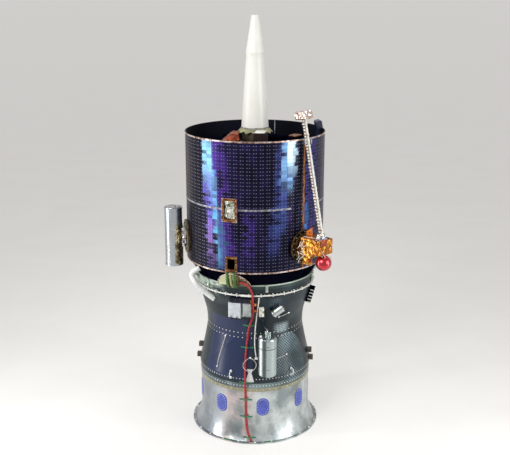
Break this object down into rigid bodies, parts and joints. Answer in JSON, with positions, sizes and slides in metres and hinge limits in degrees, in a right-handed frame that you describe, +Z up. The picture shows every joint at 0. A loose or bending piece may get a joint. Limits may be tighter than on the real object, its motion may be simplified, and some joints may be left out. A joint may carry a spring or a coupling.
{
  "type": "spin-stabilised drum satellite on its injection stage",
  "caption": "Drum satellite with wrapped solar cells, tapered antenna mast and three radial instrument masts, standing on a waisted solid-motor stage with a flared bolting flange.",
  "frame": {"origin": "centre of the base flange's bolt circle, on the flange's underside", "axes": "+Z up the spin axis, longest extent; -Y is the side the picture shows"},
  "size_m": [1.6267, 1.6632, 4.159],
  "materials": {
    "bare_aluminium": "brushed",
    "cover_blue": "satin",
    "joint_olive": "satin",
    "dark_composite": "woven, satin",
    "motor_case": "satin",
    "ring_metal": "anodised",
    "black_paint": "matte",
    "white_sleeve": "satin",
    "solar_cells": "glassy",
    "amber_film": "metallised film",
    "light_trim": "satin",
    "silver_film": "crinkled",
    "canister_metal": "satin",
    "mast_fibre": "glass fibre",
    "orange_film": "metallised film",
    "steel_fitting": "brushed",
    "ball_red": "polished",
    "boom_white": "satin",
    "cable_red": "satin",
    "radome_white": "satin",
    "box_grey": "satin",
    "red_blanket": "film blanket"
  },
  "bodies": {
    "spacecraft_and_stage": {"access_covers": "cover_blue", "antenna_collar": "joint_olive", "antenna_radome": "radome_white", "aslant_cylinder": "silver_film", "base_adapter": "bare_aluminium", "base_deck": "black_paint", "blanket_tent": "red_blanket", "boom_latch": "steel_fitting", "bottle_saddles": "steel_fitting", "cable_foot": "steel_fitting", "cable_shelf": "black_paint", "canister_a": "canister_metal", "canister_b": "canister_metal", "canister_c": "canister_metal", "clamp_band": "ring_metal", "cone_posts": "black_paint", "connector_block": "white_sleeve", "control_box": "box_grey", "deck_box": "box_grey", "drop_clamp": "steel_fitting", "equipment_deck": "black_paint", "film_duct": "silver_film", "finned_bracket": "black_paint", "foot_ring": "dark_composite", "harness_drop": "white_sleeve", "harness_ring": "white_sleeve", "interstage_shell": "dark_composite", "joint_band": "joint_olive", "kick_motor": "motor_case", "leg_brackets": "steel_fitting", "lower_window_frame": "amber_film", "middle_band": "light_trim", "motor_ring": "motor_case", "payload_cone": "black_paint", "pod_frame": "amber_film", "pod_thrusters": "silver_film", "pressure_bottle": "steel_fitting", "rear_boxes": "black_paint", "relay_box": "box_grey", "rim_sensor": "black_paint", "rim_trims": "light_trim", "seam_strips": "amber_film", "service_cable": "cable_red", "solar_panel_front": "solar_cells", "solar_panel_rear": "solar_cells", "solar_panel_right": "solar_cells", "stage_top_ring": "ring_metal", "umbilical_cover": "joint_olive"},
    "mast_a_tip": {"mast_a": "mast_fibre", "electron_sensor": "orange_film", "hinge_bracket": "steel_fitting", "detector_ball": "ball_red"},
    "magnetometer_boom": {"mag_boom": "boom_white", "mag_sensor": "silver_film"},
    "mast_b_tip": {"mast_b": "mast_fibre", "particle_cube": "silver_film", "neutron_tubes": "silver_film"},
    "mast_c_tip": {"mast_c": "mast_fibre", "gamma_sensor": "silver_film", "gamma_bracket": "silver_film"}
  },
  "joints": [
    {"name": "mast_a_slide", "type": "slide", "parent": "spacecraft_and_stage", "child": "mast_a_tip", "axis": [0.6691, -0.7431, 0], "range_m": [0, 2.5]},
    {"name": "mast_b_slide", "type": "slide", "parent": "spacecraft_and_stage", "child": "mast_b_tip", "axis": [0.309, 0.9511, 0], "range_m": [0, 2.5]},
    {"name": "mast_c_slide", "type": "slide", "parent": "spacecraft_and_stage", "child": "mast_c_tip", "axis": [-0.9781, -0.2079, 0], "range_m": [0, 2.5]},
    {"name": "magnetometer_hinge", "type": "hinge", "parent": "mast_a_tip", "child": "magnetometer_boom", "pos_m": [0.61895, -0.68741, 2.184], "axis": [0.7431, 0.6691, 0], "range_deg": [0, 103]}
  ]
}
